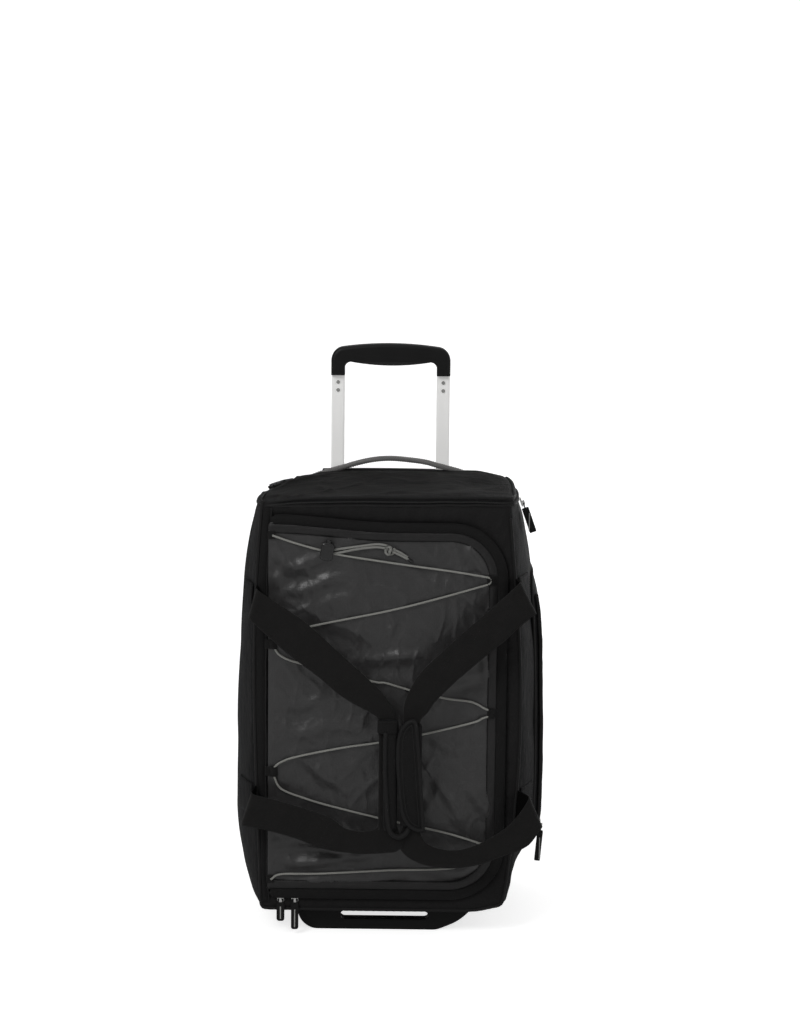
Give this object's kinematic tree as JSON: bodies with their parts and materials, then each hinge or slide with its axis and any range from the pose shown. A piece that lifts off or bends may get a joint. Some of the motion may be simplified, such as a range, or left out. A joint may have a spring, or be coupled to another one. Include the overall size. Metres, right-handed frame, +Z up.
{
  "type": "rolling duffel bag",
  "caption": "Upright soft cabin duffel on rear wheels and a front foot, with extending trolley handle, zipped front and top lids, elastic cord and webbing carry handles.",
  "frame": {"origin": "middle of the front foot's ground face, in the trolley's centre plane", "axes": "+Z up along the standing bag, +Y from the front lid towards the wheels and trolley, +X to the right seen from the front lid"},
  "size_m": [0.3747, 0.2984, 0.6906],
  "materials": {
    "body_fabric": "matte woven polyester, bonded padding behind",
    "lid_tarpaulin": "glossy coated ripstop, creased",
    "flap_fabric": "matte plain weave",
    "webbing": "flat woven webbing, stitched",
    "zip_tape": "woven tape with spiral coil",
    "elastic_cord": "braided elastic, slight sheen",
    "lining": "thin plain lining",
    "black_plastic": "fine moulded grain",
    "gloss_black": "glossy moulded",
    "grip_plastic": "moulded, satin",
    "board": "ribbed sheet",
    "aluminium": "satin anodised, drawn lines",
    "steel": "zinc plated",
    "slider_metal": "nickel plated",
    "rubber_grey": "ribbed, dull",
    "rubber_black": "dull moulded",
    "tyre": "smooth",
    "hub_plastic": "moulded"
  },
  "bodies": {
    "bag": {"bag_body": "body_fabric", "top_zip_track": "zip_tape", "main_zip_track": "zip_tape", "hinge_strip": "flap_fabric", "side_pocket": "body_fabric", "side_zip_track": "zip_tape", "strap_anchors": "webbing", "grab_handle_tabs": "flap_fabric", "back_tray": "black_plastic", "base_board": "board", "back_lining": "lining", "top_pocket_floor": "lining", "front_foot": "black_plastic", "foot_screws": "steel", "wheel_housing_left": "black_plastic", "wheel_housing_right": "black_plastic", "axle_left": "steel", "axle_right": "steel", "outer_tubes": "aluminium", "tube_bracket": "black_plastic", "trolley_bezel": "black_plastic"},
    "lid": {"main_lid": "lid_tarpaulin", "storm_flap": "flap_fabric", "cord_loops": "webbing", "bungee_cord": "elastic_cord", "cord_knot": "elastic_cord"},
    "top_lid": {"top_flap": "body_fabric"},
    "handle_left": {"carry_strap_left": "webbing", "grip_pad_left": "flap_fabric"},
    "handle_right": {"carry_strap_right": "webbing", "grip_pad_right": "flap_fabric"},
    "wrap_flap": {"grip_wrap_flap": "flap_fabric"},
    "wheel_left": {"tyre_left": "tyre", "hub_left": "hub_plastic", "bearings_left": "steel"},
    "wheel_right": {"tyre_right": "tyre", "hub_right": "hub_plastic", "bearings_right": "steel"},
    "trolley_mid": {"mid_tubes": "aluminium", "mid_stage_guides": "black_plastic"},
    "trolley_inner": {"inner_tubes": "aluminium", "lock_blocks": "black_plastic", "grip_shell": "grip_plastic", "grip_rivets": "steel"},
    "release": {"release_lever": "gloss_black", "release_rods": "steel"},
    "grab": {"grab_handle": "rubber_grey"},
    "lock_barrel": {"cord_lock_barrel": "gloss_black"},
    "lock_plunger": {"cord_lock_plunger": "gloss_black"},
    "slider_a": {"main_slider_a": "slider_metal"},
    "slider_b": {"main_slider_b": "slider_metal"},
    "pull_a": {"main_pull_a": "rubber_black"},
    "pull_b": {"main_pull_b": "rubber_black"},
    "slider_top": {"top_slider": "slider_metal"},
    "pull_top": {"top_pull": "rubber_black"},
    "slider_side": {"side_slider": "slider_metal"},
    "pull_side": {"side_pull": "rubber_black"}
  },
  "joints": [
    {"name": "main_lid_hinge", "type": "hinge", "parent": "bag", "child": "lid", "pos_m": [-0.141, -0.0335, 0.272], "axis": [0, 0, -1], "range_deg": [0, 85]},
    {"name": "handle_left_swing", "type": "hinge", "parent": "bag", "child": "handle_left", "pos_m": [-0.178, -0.005, 0.282], "axis": [0, 0, -1], "range_deg": [0, 102]},
    {"name": "handle_right_swing", "type": "hinge", "parent": "bag", "child": "handle_right", "pos_m": [0.188, 0.008, 0.287], "axis": [0, 0, 1], "range_deg": [0, 166]},
    {"name": "wrap_flap_hinge", "type": "hinge", "parent": "handle_right", "child": "wrap_flap", "pos_m": [0.0482, -0.0786, 0.206], "axis": [0, 0, -1], "range_deg": [-150, 0]},
    {"name": "top_flap_hinge", "type": "hinge", "parent": "bag", "child": "top_lid", "pos_m": [0, 0.1712, 0.5312], "axis": [1, 0, 0], "range_deg": [-75, 0]},
    {"name": "wheel_left_spin", "type": "hinge", "parent": "bag", "child": "wheel_left", "pos_m": [-0.132, 0.186, 0.032], "axis": [1, 0, 0], "continuous": true},
    {"name": "wheel_right_spin", "type": "hinge", "parent": "bag", "child": "wheel_right", "pos_m": [0.132, 0.186, 0.032], "axis": [1, 0, 0], "continuous": true},
    {"name": "trolley_mid_slide", "type": "slide", "parent": "bag", "child": "trolley_mid", "axis": [0, 0, 1], "range_m": [0, 0.22]},
    {"name": "trolley_inner_slide", "type": "slide", "parent": "trolley_mid", "child": "trolley_inner", "axis": [0, 0, 1], "range_m": [-0.098, 0.12]},
    {"name": "release_lever_slide", "type": "slide", "parent": "trolley_inner", "child": "release", "axis": [0, 0, 1], "range_m": [0, 0.0035]},
    {"name": "grab_handle_tilt", "type": "hinge", "parent": "bag", "child": "grab", "pos_m": [-0.002, 0.1785, 0.536], "axis": [1, 0, 0], "range_deg": [0, 55]},
    {"name": "cord_lock_slide", "type": "slide", "parent": "lid", "child": "lock_barrel", "axis": [-0.9863, 0, 0.165], "range_m": [0, 0.03]},
    {"name": "cord_lock_plunger_press", "type": "slide", "parent": "lock_barrel", "child": "lock_plunger", "axis": [-0.165, 0, -0.9863], "range_m": [0, 0.0025]},
    {"name": "main_slider_a_travel", "type": "slide", "parent": "bag", "child": "slider_a", "axis": [1, 0, 0], "range_m": [0, 0.007]},
    {"name": "main_slider_b_travel", "type": "slide", "parent": "bag", "child": "slider_b", "axis": [1, 0, 0], "range_m": [0, 0.16]},
    {"name": "main_pull_a_hinge", "type": "hinge", "parent": "slider_a", "child": "pull_a", "pos_m": [-0.1235, -0.032, 0.0425], "axis": [-1, 0, 0], "range_deg": [0, 110]},
    {"name": "main_pull_b_hinge", "type": "hinge", "parent": "slider_b", "child": "pull_b", "pos_m": [-0.1065, -0.032, 0.0425], "axis": [-1, 0, 0], "range_deg": [0, 110]},
    {"name": "top_slider_travel", "type": "slide", "parent": "bag", "child": "slider_top", "axis": [0, 1, 0], "range_m": [-0.008, 0.006]},
    {"name": "top_pull_hinge", "type": "hinge", "parent": "slider_top", "child": "pull_top", "pos_m": [0.16072, 0.034, 0.51443], "axis": [0, -1, 0], "range_deg": [0, 90]},
    {"name": "side_slider_travel", "type": "slide", "parent": "bag", "child": "slider_side", "axis": [0.088, 0, 0.9961], "range_m": [0, 0.02]},
    {"name": "side_pull_hinge", "type": "hinge", "parent": "slider_side", "child": "pull_side", "pos_m": [0.18925, 0.046, 0.11625], "axis": [0, -1, 0], "range_deg": [0, 90]}
  ],
  "couplings": [
    {"joint": "handle_left_swing", "follows": "main_lid_hinge", "ratio": 1.2},
    {"joint": "handle_right_swing", "follows": "main_lid_hinge", "ratio": 1.95}
  ]
}
